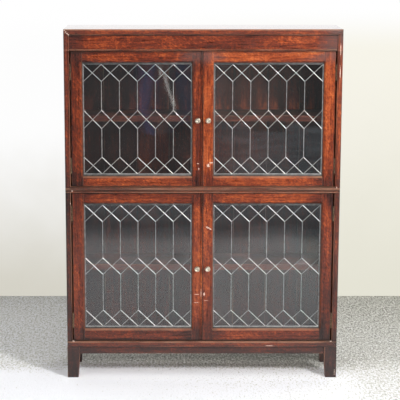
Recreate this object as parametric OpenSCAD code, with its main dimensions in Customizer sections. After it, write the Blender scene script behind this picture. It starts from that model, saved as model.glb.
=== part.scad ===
// Two-section oak bookcase on short legs, with four side-hung leaded doors.
// X runs to the viewer's right, the doors face -Y and Z is up. The origin is on the
// floor, in the middle of the width and of the depth over the knobs. Millimetres.

/* [Case] */
// Width over the two sides
case_w = 890; // [700:10:1200]
// Depth from the face of the edge moulding to the back
case_d = 208; // [180:1:360]
// Height of the legs, from the floor to the underside of the case
leg_h = 104.5; // [60:0.5:200]
// Height of the lower section
lower_h = 527; // [440:1:640]
// Height of the upper section
upper_h = 518.5; // [440:0.5:640]

/* [Boards] */
// Thickness of the side boards
side_t = 17.5; // [15:0.5:24]
// Thickness of the top board
top_t = 19; // [16:0.5:28]
// Thickness of the upper section's bottom board
upper_bottom_t = 11; // [9:0.5:20]
// Thickness of the lower section's top board
lower_top_t = 9; // [8:0.5:20]
// Thickness of the lower section's bottom board
bottom_t = 21.5; // [18:0.5:30]
// How deep a bottom or top board is housed in the sides
housing = 6; // [3:0.5:8]
// Thickness of the tongue along the top end of the upper sides
tongue_t = 6; // [4:0.5:8]
// Height of that tongue
tongue_h = 8; // [5:0.5:11]

/* [Backs] */
// Thickness of the back boards
back_t = 8; // [6:0.5:12]
// Width of the rebate that the back boards lie in
back_lip = 8; // [5:0.5:11]
// Number of back boards in each section
back_boards = 8; // [5:1:12]
// Shrinkage gap between neighbouring back boards
back_gap = 0.4; // [0.2:0.1:2]

/* [Shelves] */
// Thickness of a shelf
shelf_t = 19; // [14:0.5:25]
// Set-back of a shelf's front edge behind the moulding's face
shelf_set = 40; // [38:1:60]
// Clearance round a loose shelf
shelf_gap = 1; // [0.5:0.5:3]
// Height of the upper shelf's top above the joint of the sections
upper_shelf_z = 238.5; // [180:0.5:300]
// Height of the lower shelf's top above the underside of the case
lower_shelf_z = 272.5; // [200:0.5:330]
// Width of a shelf cleat
cleat_w = 12; // [8:1:20]
// Height of a shelf cleat
cleat_h = 18; // [12:1:30]
// Set-back of a cleat's front end behind the shelf's front edge
cleat_set = 8; // [4:1:20]

/* [Edge moulding] */
// Thickness of the moulding on the front edges, front to back
mould_t = 12; // [8:0.5:16]
// Radius of its outer edge
mould_round = 6; // [3:0.5:7]
// Radius of its outer edge where the two sections meet
joint_round = 2; // [1:0.5:3]
// Radius of the small bead along its inner edge
bead_r = 2; // [1.5:0.25:2.5]
// Width of the quirk beside that bead
quirk_w = 1; // [0.5:0.25:1.5]
// How far that bead lies behind the face
bead_sink = 0.6; // [0.25:0.05:1.5]
// Open joint at the mitres, measured along the strip
mitre_gap = 0.2; // [0.1:0.1:1]

/* [Frieze] */
// Height of the frieze under the top
frieze_h = 49; // [35:1:70]
// Set-back of the frieze behind the moulding's face
frieze_set = 4.5; // [2:0.5:6]
// Length of the frieze's stub tenons
frieze_tenon = 6; // [4:0.5:10]
// How far the tenon stands behind the front of the boards
frieze_tenon_set = 1; // [0.5:0.5:2]

/* [Doors] */
// Set-back of the doors' faces behind the moulding's face
door_set = 5; // [4:0.5:8]
// Thickness of the doors
door_t = 20; // [17:0.5:26]
// Width of the stile beside the hinges
hinge_stile_w = 36; // [32:0.5:50]
// Width of the stile beside the middle of the case
meeting_stile_w = 33.5; // [32:0.5:50]
// Height of the upper doors' top rail
upper_top_rail = 36; // [28:0.5:50]
// Height of the upper doors' bottom rail
upper_low_rail = 32; // [28:0.5:50]
// Height of the lower doors' top rail
lower_top_rail = 34.5; // [28:0.5:50]
// Height of the lower doors' bottom rail
lower_low_rail = 38; // [28:0.5:50]
// Clearance above and below a door
door_gap = 2; // [1:0.25:4]
// Gap between a hinge stile and the side, which holds the hinge
hinge_gap = 5; // [5:0.25:7]
// Gap between the two doors of a pair
meeting_gap = 1.5; // [1.5:0.25:4]
// Radius of the bead on the left doors' meeting edge
meet_bead_r = 3.2; // [2:0.2:3.6]
// Width of the quirk beside that bead
meet_quirk = 1.6; // [0.8:0.2:2]
// How far that bead lies behind the door's face
meet_sink = 1; // [0.4:0.2:2]
// Length of the rails' tenons in the stiles
rail_tenon = 14; // [8:1:18]
// Thickness of those tenons
rail_tenon_t = 7; // [5:0.5:8]
// Width of the shoulders above and below a tenon
tenon_shoulder = 5; // [3:0.5:8]
// Height by which the stop strips lap behind the doors
stop_lap = 8; // [5:1:14]
// Thickness of the stop strips
stop_t = 12; // [8:1:12]
// Clearance between a closed door and its stop strip
stop_gap = 0.5; // [0.3:0.1:2]

/* [Leaded lights] */
// Thickness of the wood lip in front of the leaded light
lip_t = 8; // [5:0.5:9]
// Width of the rebate behind that lip
rebate_w = 7; // [5:0.5:10]
// Clearance round the leaded light in its rebate
panel_gap = 1; // [0.5:0.25:2]
// Width of the lead cames
came_w = 4; // [4:0.25:7]
// Thickness of a came's front and back flange
flange_t = 1.1; // [0.8:0.1:1.4]
// Thickness of a came's heart, between two panes
heart_w = 1.6; // [1.2:0.1:2.4]
// Thickness of the glass
glass_t = 3; // [2:0.25:4]
// Clearance between a pane and the heart of its came
glass_gap = 0.3; // [0.1:0.1:0.6]
// Number of columns in a light
columns = 6; // [3:1:9]
// Height of the bands of diamonds along the top and the bottom
end_band = 55; // [40:1:70]
// Height of the upper doors' middle band of diamonds
upper_mid_band = 59; // [40:1:70]
// Height of the lower doors' middle band of diamonds
lower_mid_band = 55; // [40:1:70]
// Distance of the border lead's line from the stiles' sight edges
side_border = 3.2; // [2:0.2:8]
// Distance of the border lead's line from the rails' sight edges
end_border = 6; // [2:0.5:10]
// Gap at the butt joints of the glazing beads
glazing_gap = 0.2; // [0.1:0.1:1]

/* [Hinges] */
// Length of a butt hinge
hinge_l = 50; // [35:5:70]
// Distance of a hinge from the door's end
hinge_end = 42; // [25:1:70]
// Radius of the knuckle
knuckle_r = 2.2; // [1.9:0.05:2.3]
// Radius of the pin
pin_r = 1.05; // [0.8:0.05:1.05]
// Radial clearance of the pin in the door's knuckles
pin_gap = 0.06; // [0.02:0.01:0.1]
// How far the pin's axis stands in front of the door's face
pin_proud = 0.5; // [0:0.1:1]
// Height of the pin's tip beyond the leaves
tip_h = 1; // [0.5:0.5:3]
// Diameter of the pin's tip
tip_d = 3.1; // [2.6:0.1:3.6]
// Thickness of a leaf
leaf_t = 1.3; // [1:0.1:1.3]
// Width of a leaf behind the pin's axis
leaf_w = 17; // [12:1:17]
// Clearance between neighbouring knuckles
knuckle_gap = 0.2; // [0.1:0.05:0.4]

/* [Knobs] */
// Diameter of the knob's head
knob_d = 18; // [14:1:24]
// Height of the knob's face above the door
knob_reach = 21; // [18:1:30]
// Thickness of the knob's head
knob_head_t = 7; // [5:0.5:9]
// Diameter of the knob's foot
knob_foot_d = 12; // [9:1:14]
// Thickness of the foot
knob_foot_t = 2; // [1:0.5:4]
// Diameter of the neck
knob_neck_d = 7; // [5:0.5:8]
// Depth of the hollow in the knob's face
dish_depth = 1.6; // [0.8:0.2:2.4]
// Width of the flat ring between that hollow and the round rim
dish_land = 0.3; // [0.1:0.1:1.5]
// Diameter of the shank in the stile
shank_d = 4; // [3:0.5:5]
// Length of the shank
shank_l = 14; // [8:1:15]
// Distance of a knob from the middle of the case
knob_in = 17; // [15:0.5:26]
// Distance of a knob below the middle of its door
knob_drop = 2; // [0:1:60]

/* [Legs and aprons] */
// Thickness of a leg at the top
leg_w = 40; // [36:1:60]
// Thickness of a leg at the foot
foot_w = 36; // [26:1:36]
// Set-back of the front legs behind the moulding's face
leg_set = 1; // [0:0.5:6]
// Height of the aprons
apron_h = 23.5; // [18:0.5:50]
// Thickness of the aprons
apron_t = 18; // [15:0.5:20]
// Set-back of the aprons behind the legs' faces
apron_set = 5; // [2:0.5:6]
// Length of the aprons' tenons in the legs
apron_tenon = 12; // [8:1:14]
// Thickness of those tenons
apron_tenon_t = 7; // [5:0.5:8]
// Height of the shoulders above and below those tenons
apron_shoulder = 4; // [3:0.5:6]

/* [Screws and dowels] */
// Diameter of the screws that hold the aprons to the case
screw_d = 4; // [3:0.5:5]
// Diameter of a screw's head
screw_head_d = 8; // [7:0.5:9]
// Thickness of a screw's head
screw_head_t = 2.5; // [1.5:0.5:4]
// Depth of the counterbore over a screw's head
screw_sink = 6; // [4:0.5:8]
// Length of a screw in the case's bottom
screw_bite = 13; // [8:1:15]
// Diameter of the locating dowels between the sections
dowel_d = 8; // [6:1:12]
// Wood left beyond the blind end of a dowel's hole
dowel_skin = 2.5; // [1.5:0.5:3]
// Distance of a dowel from the outside of the case
dowel_in = 60; // [40:5:120]
// Radial clearance round a screw, shank or dowel
fit_gap = 0.05; // [0.02:0.01:0.2]

/* [Hidden] */
$fn = 64;
cut = 1; // how far a cutter runs past a face
far = 3 * (case_w + leg_h + lower_h + upper_h); // longer than any strip
oak = "#7a3f22";
dark_oak = "#4a2a1e";
back_oak = "#5a3a26";
lead = "#b9bcbd";
pane = "#5b646666";
brass = "#c8a868";
steel = "#8b8b88";

LEFT = -1;
RIGHT = 1;

// Levels
joint_z = leg_h + lower_h;
top_z = joint_z + upper_h;
under_top = top_z - top_t;
frieze_z = under_top - frieze_h;
lower_floor = leg_h + bottom_t;
lower_ceiling = joint_z - lower_top_t;
upper_floor = joint_z + upper_bottom_t;

// Places across and along the case
half_w = case_w / 2;
inner_x = half_w - side_t;
front_y = (knob_reach - door_set - case_d) / 2;
back_y = front_y + case_d;
board_y = front_y + mould_t;
back_face = back_y - back_t;
door_y = front_y + door_set;
stop_y = door_y + door_t + stop_gap;
frieze_t = stop_y - front_y - frieze_set;
mid_y = (board_y + back_face) / 2;

// Doors, measured from the hinge edge (u), from the face (y) and from the bottom (z)
door_x = inner_x - hinge_gap;
door_w = door_x - meeting_gap / 2;
sight_u = hinge_stile_w;
sight_w = door_w - hinge_stile_w - meeting_stile_w;
upper_door_z = upper_floor + door_gap;
upper_door_h = frieze_z - door_gap - upper_door_z;
lower_door_z = lower_floor + door_gap;
lower_door_h = lower_ceiling - door_gap - lower_door_z;
panel_t = 2 * flange_t + glass_t;

// ---------- shapes that repeat ----------

// a box from its two corners
module block(low, high) {
    translate(low) cube(high - low);
}

// a section through a strip: u runs from its outer to its inner edge and v from its face back,
// with a small bead and its quirk along the inner edge
module beaded_section(w, t, r, quirk, sink) {
    difference() {
        square([w, t]);
        translate([w - 2 * r - quirk, -cut]) square([2 * r + quirk + cut, r + sink + cut]);
    }
    translate([w - r, r + sink]) circle(r);
}

// the same with a round outer edge
module moulding_section(w, round) {
    intersection() {
        beaded_section(w, mould_t, bead_r, quirk_w, bead_sink);
        union() {
            translate([round, 0]) square([w, mould_t]);
            translate([0, round]) square([w, mould_t]);
            translate([round, round]) circle(round);
        }
    }
}

// a part of the front plane as a thick slab, for cutting mitres
module mitre(points) {
    translate([0, front_y + mould_t + cut, 0]) rotate([90, 0, 0])
        linear_extrude(mould_t + 2 * cut) polygon(points);
}

// four mitred strips round the front of a section, between z0 and z1
module edge_moulding(z0, z1, low_w, high_w, low_round, high_round) {
    low_in = z0 + low_w;
    high_in = z1 - high_w;
    for (side = [LEFT, RIGHT]) {
        intersection() {
            mirror([side == LEFT ? 0 : 1, 0, 0]) translate([-half_w, front_y, z0])
                linear_extrude(z1 - z0) moulding_section(side_t, mould_round);
            mitre([[side * half_w, z0], [side * half_w, z1],
                   [side * inner_x, high_in], [side * inner_x, low_in]]);
        }
    }
    intersection() {
        translate([-half_w, front_y, z0]) rotate([90, 0, 90])
            linear_extrude(case_w) rotate(90) mirror([0, 1, 0])
                moulding_section(low_w, low_round);
        mitre([[mitre_gap - half_w, z0], [half_w - mitre_gap, z0],
               [inner_x - mitre_gap, low_in], [mitre_gap - inner_x, low_in]]);
    }
    intersection() {
        translate([-half_w, front_y, z1]) rotate([90, 0, 90])
            linear_extrude(case_w) rotate(-90) moulding_section(high_w, high_round);
        mitre([[mitre_gap - half_w, z1], [half_w - mitre_gap, z1],
               [inner_x - mitre_gap, high_in], [mitre_gap - inner_x, high_in]]);
    }
}

// a side board between z0 and z1, with the rebate for the back
module side_board(side, z0, z1) {
    mirror([side == LEFT ? 0 : 1, 0, 0]) difference() {
        block([-half_w, board_y, z0], [-inner_x, back_y, z1]);
        block([-inner_x - back_lip, back_face, z0 - cut], [-inner_x + cut, back_y + cut, z1 + cut]);
    }
}

// a board that is housed in both sides
module housed_board(z0, z1) {
    block([-inner_x - housing, board_y, z0], [inner_x + housing, back_face, z1]);
}

// the back of a section, as upright boards side by side
module back_boards(z0, z1) {
    whole = 2 * (inner_x + back_lip);
    w = (whole - (back_boards - 1) * back_gap) / back_boards;
    for (i = [0 : back_boards - 1])
        translate([i * (w + back_gap) - whole / 2, back_face, z0]) cube([w, back_t, z1 - z0]);
}

// a loose shelf whose top is at z
module shelf(z) {
    block([shelf_gap - inner_x, front_y + shelf_set, z - shelf_t],
          [inner_x - shelf_gap, back_face - shelf_gap, z]);
}

// the two cleats under a shelf whose top is at z
module cleats(z) {
    for (side = [LEFT, RIGHT]) mirror([side == LEFT ? 0 : 1, 0, 0])
        block([-inner_x, front_y + shelf_set + cleat_set, z - shelf_t - cleat_h],
              [cleat_w - inner_x, back_face, z - shelf_t]);
}

// puts a door's piece, drawn from its hinge edge, on its side of the case
module on_door(side, z) {
    mirror([side == LEFT ? 0 : 1, 0, 0]) translate([-door_x, door_y, z]) children();
}

// tenons, or the mortises for them, at both ends of a rail that is rail_h high
module rail_tenons(rail_h) {
    long = rebate_w + rail_tenon;
    for (u = [sight_u - long, sight_u + sight_w])
        block([u, lip_t, tenon_shoulder], [u + long, lip_t + rail_tenon_t, rail_h - rebate_w - tenon_shoulder]);
}

// a bottom rail: its back is longer than its face, to fill the stiles' rebates
module rail(rail_h) {
    difference() {
        block([sight_u, 0, 0], [sight_u + sight_w, door_t, rail_h]);
        block([sight_u - cut, lip_t, rail_h - rebate_w], [sight_u + sight_w + cut, door_t + cut, rail_h + cut]);
    }
    block([sight_u - rebate_w, lip_t, 0], [sight_u + sight_w + rebate_w, door_t, rail_h - rebate_w]);
    rail_tenons(rail_h);
}

// turns a bottom rail's shape into a top rail's
module at_top(h) {
    translate([0, 0, h]) mirror([0, 0, 1]) children();
}

module both_rails(h, low_rail, top_rail) {
    color(oak) {
        rail(low_rail);
        at_top(h) rail(top_rail);
    }
}

module both_mortises(h, low_rail, top_rail) {
    rail_tenons(low_rail);
    at_top(h) rail_tenons(top_rail);
}

module hinge_stile(h, low_rail, top_rail) {
    color(oak) difference() {
        cube([hinge_stile_w, door_t, h]);
        translate([hinge_stile_w - rebate_w, lip_t, -cut]) cube([rebate_w + cut, door_t, h + 2 * cut]);
        both_mortises(h, low_rail, top_rail);
    }
}

function knob_u() = door_w + meeting_gap / 2 - knob_in;
function knob_z(h) = h / 2 - knob_drop;

module meeting_stile(h, low_rail, top_rail, beaded) {
    color(oak) difference() {
        union() {
            translate([door_w - meeting_stile_w, 0, 0]) linear_extrude(h)
                if (beaded) beaded_section(meeting_stile_w, door_t, meet_bead_r, meet_quirk, meet_sink);
                else square([meeting_stile_w, door_t]);
        }
        translate([sight_u + sight_w - cut, lip_t, -cut]) cube([rebate_w + cut, door_t, h + 2 * cut]);
        both_mortises(h, low_rail, top_rail);
        translate([knob_u(), -cut, knob_z(h)]) rotate([-90, 0, 0])
            cylinder(r = shank_d / 2 + fit_gap, h = shank_l + cut);
    }
}

// ---------- leaded light ----------

// the point where two lines meet, each given by a point and a direction
function crossing(p, d, q, e) = p + d * ((q - p) * [e.y, -e.x]) / (d * [e.y, -e.x]);
function left_of(v) = [-v.y, v.x] / norm(v);

// a convex outline, listed anticlockwise, moved inwards by gap on every side
function inset(points, gap) = [
    for (i = [0 : len(points) - 1])
        let (before = points[(i + len(points) - 1) % len(points)],
             here = points[i],
             after = points[(i + 1) % len(points)])
            crossing(here + gap * left_of(here - before), here - before,
                     here + gap * left_of(after - here), after - here)
];

// every pane between the centre lines of the leads, in a light that is w by h
function panes(w, h, mid_band) =
    let (pitch = w / columns,
         bands = [[0, end_band], [(h - mid_band) / 2, (h + mid_band) / 2], [h - end_band, h]],
         middle = [for (band = bands) (band[0] + band[1]) / 2])
    concat(
        [for (b = [0 : 2]) for (k = [0 : columns])
            concat(k > 0 ? [[(k - 0.5) * pitch, middle[b]]] : [],
                   [[k * pitch, bands[b][0]]],
                   k < columns ? [[(k + 0.5) * pitch, middle[b]]] : [],
                   [[k * pitch, bands[b][1]]])],
        [for (k = [0 : columns - 1])
            [[k * pitch, 0], [(k + 1) * pitch, 0], [(k + 0.5) * pitch, middle[0]]]],
        [for (k = [0 : columns - 1])
            [[(k + 1) * pitch, h], [k * pitch, h], [(k + 0.5) * pitch, middle[2]]]],
        [for (b = [0, 1]) for (k = [0 : columns - 1])
            [[(k + 0.5) * pitch, middle[b]],
             [(k + 1) * pitch, bands[b][1]], [(k + 1) * pitch, bands[b + 1][0]],
             [(k + 0.5) * pitch, middle[b + 1]],
             [k * pitch, bands[b + 1][0]], [k * pitch, bands[b][1]]]]
    );

function light_h(h, low_rail, top_rail) = h - low_rail - top_rail;

// every pane of a light, each moved in from the leads' centre lines by gap
module pane_outlines(h, low_rail, top_rail, mid_band, gap) {
    sight_h = light_h(h, low_rail, top_rail);
    for (points = panes(sight_w - 2 * side_border, sight_h - 2 * end_border, mid_band))
        translate([sight_u + side_border, low_rail + end_border]) polygon(inset(points, gap));
}

// one layer of the leads, from y to y + t, with the panes' openings
module came_layer(h, low_rail, top_rail, mid_band, y, t, gap) {
    lap = rebate_w - panel_gap;
    translate([0, y + t, 0]) rotate([90, 0, 0]) linear_extrude(t) difference() {
        translate([sight_u - lap, low_rail - lap])
            square([sight_w + 2 * lap, light_h(h, low_rail, top_rail) + 2 * lap]);
        pane_outlines(h, low_rail, top_rail, mid_band, gap);
    }
}

module lead_cames(h, low_rail, top_rail, mid_band) {
    color(lead) {
        came_layer(h, low_rail, top_rail, mid_band, lip_t, flange_t, came_w / 2);
        came_layer(h, low_rail, top_rail, mid_band, lip_t + flange_t, glass_t, heart_w / 2);
        came_layer(h, low_rail, top_rail, mid_band, lip_t + flange_t + glass_t, flange_t, came_w / 2);
    }
}

module glass_panes(h, low_rail, top_rail, mid_band) {
    color(pane) translate([0, lip_t + flange_t + glass_t, 0]) rotate([90, 0, 0])
        linear_extrude(glass_t)
            pane_outlines(h, low_rail, top_rail, mid_band, heart_w / 2 + glass_gap);
}

// four square beads that hold the light in its rebate
module glazing_beads(h, low_rail, top_rail) {
    y0 = lip_t + panel_t;
    u0 = sight_u - rebate_w;
    u1 = sight_u + sight_w + rebate_w;
    z0 = low_rail - rebate_w;
    z1 = h - top_rail + rebate_w;
    color(oak) {
        block([u0, y0, z0], [u1, door_t, z0 + rebate_w]);
        block([u0, y0, z1 - rebate_w], [u1, door_t, z1]);
        for (u = [u0, u1 - rebate_w])
            block([u, y0, z0 + rebate_w + glazing_gap], [u + rebate_w, door_t, z1 - rebate_w - glazing_gap]);
    }
}

// ---------- hinges and knobs ----------

knuckles = 5; // the carcase holds the even ones and the door the odd ones
knuckle_l = hinge_l / knuckles;

module at_hinges(h) {
    for (z = [hinge_end, h - hinge_end - hinge_l])
        translate([-hinge_gap / 2, -pin_proud, z]) children();
}

// a leaf whose plate lies between u0 and u0 + leaf_t, counted from the pin's axis
module leaf(u0, own, others, own_gap, bore_r) {
    difference() {
        union() {
            difference() {
                translate([u0, 0, 0]) cube([leaf_t, leaf_w, hinge_l]);
                for (i = others) translate([0, 0, i * knuckle_l - knuckle_gap])
                    cylinder(r = knuckle_r + knuckle_gap, h = knuckle_l + 2 * knuckle_gap);
            }
            for (i = own) translate([0, 0, i * knuckle_l + own_gap])
                cylinder(r = knuckle_r, h = knuckle_l - 2 * own_gap);
        }
        translate([0, 0, -cut]) cylinder(r = bore_r, h = hinge_l + 2 * cut);
    }
}

module carcase_leaf() {
    leaf(-hinge_gap / 2, [0, 2, 4], [1, 3], 0, pin_r + fit_gap);
}

module door_leaves(h) {
    color(brass) at_hinges(h)
        leaf(hinge_gap / 2 - leaf_t, [1, 3], [0, 2, 4], knuckle_gap, pin_r + pin_gap);
}

module hinge_pin() {
    cylinder(r = pin_r, h = hinge_l);
    for (z = [-tip_h, hinge_l]) translate([0, 0, z]) cylinder(d = tip_d, h = tip_h);
}

// a section through half of the knob, from its axis out; the height is above the door
module knob_section() {
    rim = knob_head_t / 2;
    dish_r = knob_d / 2 - rim - dish_land;
    ball = (dish_r * dish_r + dish_depth * dish_depth) / (2 * dish_depth);
    translate([0, -shank_l]) square([shank_d / 2, shank_l + knob_foot_t]);
    square([knob_foot_d / 2, knob_foot_t]);
    square([knob_neck_d / 2, knob_reach - rim]);
    difference() {
        union() {
            translate([0, knob_reach - knob_head_t]) square([knob_d / 2 - rim, knob_head_t]);
            translate([knob_d / 2 - rim, knob_reach - rim]) circle(rim);
        }
        intersection() {
            translate([0, knob_reach - dish_depth + ball]) circle(ball);
            translate([0, knob_reach - knob_head_t]) square([knob_d, knob_head_t + cut]);
        }
    }
}

module knob(h) {
    color(brass) translate([knob_u(), 0, knob_z(h)]) rotate([90, 0, 0])
        rotate_extrude() knob_section();
}

// ---------- legs and aprons ----------

// puts a leg, drawn from its outer corner inwards, on its corner of the case
module at_corner(side, front) {
    translate([side * half_w, front ? front_y + leg_set : back_y, 0])
        mirror([side == LEFT ? 0 : 1, 0, 0]) mirror([0, front ? 0 : 1, 0]) children();
}

// the side view of a leg, tapered below the apron
module leg_view() {
    translate([0, leg_w, 0]) rotate([90, 0, 0]) linear_extrude(leg_w)
        polygon([[0, 0], [foot_w, 0], [leg_w, leg_h - apron_h], [leg_w, leg_h], [0, leg_h]]);
}

module leg() {
    tenon_at = apron_set + (apron_t - apron_tenon_t) / 2;
    low = leg_h - apron_h + apron_shoulder;
    high = leg_h - apron_shoulder;
    difference() {
        intersection() {
            leg_view();
            mirror([1, -1, 0]) leg_view();
        }
        block([leg_w - apron_tenon, tenon_at, low], [leg_w + cut, tenon_at + apron_tenon_t, high]);
        block([tenon_at, leg_w - apron_tenon, low], [tenon_at + apron_tenon_t, leg_w + cut, high]);
    }
}

// an apron of length l along X, from the middle of its outer face, with a tenon at each end
module apron(l, holes) {
    inset_t = (apron_t - apron_tenon_t) / 2;
    difference() {
        union() {
            block([-l / 2, 0, leg_h - apron_h], [l / 2, apron_t, leg_h]);
            block([-l / 2 - apron_tenon, inset_t, leg_h - apron_h + apron_shoulder],
                  [l / 2 + apron_tenon, inset_t + apron_tenon_t, leg_h - apron_shoulder]);
        }
        for (x = holes) translate([x, apron_t / 2, leg_h - apron_h]) {
            translate([0, 0, -cut]) cylinder(r = screw_d / 2 + fit_gap, h = apron_h + 2 * cut);
            translate([0, 0, -cut]) cylinder(r = screw_head_d / 2 + fit_gap, h = screw_sink + cut);
        }
    }
}

front_leg_y = front_y + leg_set;
long_apron = case_w - 2 * leg_w;
short_apron = back_y - front_leg_y - 2 * leg_w;
apron_mid_y = (front_leg_y + back_y) / 2;
screw_x = long_apron / 4;

// the axis of every screw under the case
screw_places = [
    for (y = [front_leg_y + apron_set + apron_t / 2, back_y - apron_set - apron_t / 2])
        for (x = [-screw_x, screw_x]) [x, y],
    for (side = [LEFT, RIGHT]) [side * (half_w - apron_set - apron_t / 2), apron_mid_y]
];

module screw_holes() {
    for (at = screw_places) translate([at.x, at.y, leg_h - cut])
        cylinder(r = screw_d / 2 + fit_gap, h = screw_bite + cut);
}

module dowels(gap) {
    low = joint_z - lower_top_t + dowel_skin - gap;
    high = joint_z + upper_bottom_t - dowel_skin + gap;
    for (side = [LEFT, RIGHT]) translate([side * (half_w - dowel_in), mid_y, low])
        cylinder(r = dowel_d / 2 + gap, h = high - low);
}

// ---------- upper section ----------

module upper_side(side) {
    color(dark_oak) difference() {
        union() {
            side_board(side, joint_z, under_top);
            mirror([side == LEFT ? 0 : 1, 0, 0]) tongue();
        }
        housed_board(joint_z, upper_floor);
        frieze_body();
    }
}

// the tongue along the top of the left side
module tongue() {
    x = -half_w + (side_t - tongue_t) / 2;
    block([x, board_y, under_top], [x + tongue_t, back_face, under_top + tongue_h]);
}

module upper_top() {
    color(oak) difference() {
        block([-half_w, board_y, under_top], [half_w, back_y, top_z]);
        for (side = [0, 1]) mirror([side, 0, 0]) tongue();
        block([-inner_x - back_lip, back_face, under_top - cut],
              [inner_x + back_lip, back_y + cut, under_top + back_lip]);
    }
}

module upper_bottom() {
    color(oak) difference() {
        housed_board(joint_z, upper_floor);
        dowels(fit_gap);
    }
}

module upper_back() {
    color(back_oak) back_boards(joint_z, under_top + back_lip);
}

// the frieze with its stub tenons, which lie behind the side mouldings
module frieze_body() {
    tenon_y = board_y + frieze_tenon_set;
    translate([-inner_x, front_y + frieze_set, under_top]) rotate([90, 0, 90])
        linear_extrude(2 * inner_x) rotate(-90)
            beaded_section(frieze_h, frieze_t, bead_r, quirk_w, bead_sink);
    block([-inner_x - frieze_tenon, tenon_y, frieze_z + tenon_shoulder],
          [inner_x + frieze_tenon, tenon_y + rail_tenon_t, under_top - tenon_shoulder]);
}

module upper_frieze() {
    color(oak) frieze_body();
}

module upper_edge_moulding() {
    color(dark_oak) edge_moulding(joint_z, top_z, upper_bottom_t, top_t, joint_round, mould_round);
}

module upper_door_stop() {
    color(oak) block([-inner_x, stop_y, upper_door_z + upper_door_h - stop_lap],
                     [inner_x, stop_y + stop_t, under_top]);
}

module upper_shelf() {
    color(oak) shelf(joint_z + upper_shelf_z);
}

// ---------- lower section ----------

module lower_side(side) {
    color(dark_oak) difference() {
        side_board(side, leg_h, joint_z);
        housed_board(leg_h, lower_floor);
        housed_board(lower_ceiling, joint_z);
        screw_holes();
    }
}

module lower_top() {
    color(oak) difference() {
        housed_board(lower_ceiling, joint_z);
        dowels(fit_gap);
    }
}

module lower_bottom() {
    color(oak) difference() {
        housed_board(leg_h, lower_floor);
        screw_holes();
    }
}

module lower_back() {
    color(back_oak) difference() {
        back_boards(leg_h, joint_z);
        screw_holes();
    }
}

module lower_edge_moulding() {
    color(dark_oak) edge_moulding(leg_h, joint_z, bottom_t, lower_top_t, joint_round, joint_round);
}

module lower_door_stop() {
    color(oak) block([-inner_x, stop_y, lower_door_z + lower_door_h - stop_lap],
                     [inner_x, stop_y + stop_t, lower_ceiling]);
}

module lower_shelf() {
    color(oak) shelf(leg_h + lower_shelf_z);
}

module shelf_cleats() {
    color(oak) {
        cleats(joint_z + upper_shelf_z);
        cleats(leg_h + lower_shelf_z);
    }
}

// ---------- base ----------

module leg_pair(front) {
    color(dark_oak) for (side = [LEFT, RIGHT]) at_corner(side, front) leg();
}

module front_apron() {
    color(dark_oak) translate([0, front_leg_y + apron_set, 0]) apron(long_apron, [-screw_x, screw_x]);
}

module rear_apron() {
    color(dark_oak) translate([0, back_y - apron_set, 0]) mirror([0, 1, 0])
        apron(long_apron, [-screw_x, screw_x]);
}

module side_aprons() {
    color(dark_oak) for (side = [0, 1]) mirror([side, 0, 0])
        translate([apron_set - half_w, apron_mid_y, 0]) mirror([1, -1, 0]) apron(short_apron, [0]);
}

module base_screws() {
    color(steel) for (at = screw_places) translate([at.x, at.y, leg_h - apron_h + screw_sink]) {
        translate([0, 0, -screw_head_t]) cylinder(r = screw_head_d / 2, h = screw_head_t);
        cylinder(r = screw_d / 2, h = apron_h - screw_sink + screw_bite);
    }
}

module section_dowels() {
    color(oak) dowels(0);
}

// ---------- hinges' fixed halves ----------

module on_each_door() {
    for (side = [LEFT, RIGHT]) {
        on_door(side, upper_door_z) at_hinges(upper_door_h) children();
        on_door(side, lower_door_z) at_hinges(lower_door_h) children();
    }
}

module carcase_hinge_leaves() {
    color(brass) on_each_door() carcase_leaf();
}

module hinge_pins() {
    color(brass) on_each_door() hinge_pin();
}

// ---------- doors ----------

// one piece of an upper door, by its kind
module upper_door(side, kind) {
    h = upper_door_h;
    low = upper_low_rail;
    top = upper_top_rail;
    on_door(side, upper_door_z) door_piece(side, kind, h, low, top, upper_mid_band);
}

// one piece of a lower door, by its kind
module lower_door(side, kind) {
    h = lower_door_h;
    low = lower_low_rail;
    top = lower_top_rail;
    on_door(side, lower_door_z) door_piece(side, kind, h, low, top, lower_mid_band);
}

module door_piece(side, kind, h, low, top, mid_band) {
    if (kind == "hinge_stile") hinge_stile(h, low, top);
    if (kind == "meeting_stile") meeting_stile(h, low, top, side == LEFT);
    if (kind == "rails") both_rails(h, low, top);
    if (kind == "cames") lead_cames(h, low, top, mid_band);
    if (kind == "panes") glass_panes(h, low, top, mid_band);
    if (kind == "beads") glazing_beads(h, low, top);
    if (kind == "leaves") door_leaves(h);
    if (kind == "knob") knob(h);
}

door_kinds = ["hinge_stile", "meeting_stile", "rails", "cames", "panes", "beads", "leaves", "knob"];
door_rows = ["upper", "lower"];
door_sides = ["left", "right"];

function door_node(row, side, kind) = str(row, "_", side, "_door_", kind);

upper_side(LEFT);  // upper_left_side
upper_side(RIGHT);  // upper_right_side
upper_top();
upper_bottom();
upper_back();
upper_frieze();
upper_edge_moulding();
upper_door_stop();
upper_shelf();
lower_side(LEFT);  // lower_left_side
lower_side(RIGHT);  // lower_right_side
lower_top();
lower_bottom();
lower_back();
lower_edge_moulding();
lower_door_stop();
lower_shelf();
shelf_cleats();
leg_pair(true);  // front_legs
leg_pair(false);  // rear_legs
front_apron();
rear_apron();
side_aprons();
base_screws();
section_dowels();
carcase_hinge_leaves();
hinge_pins();
for (kind = door_kinds) {
    upper_door(LEFT, kind);
    upper_door(RIGHT, kind);
    lower_door(LEFT, kind);
    lower_door(RIGHT, kind);
}
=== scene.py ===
# %% [markdown]
# # A two-section oak bookcase with leaded doors
# The joiner's model gives every board, hinge and pane at its real size and place. This file gives
# them their looks: worn arrises, figured and stained oak, rounded lead cames with solder at the
# crossings, old uneven glass and turned brass knobs. Nothing here moves or resizes a part.

# %% Load the measured model
import math
import random

import bpy
from mathutils import Matrix, Vector


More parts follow.
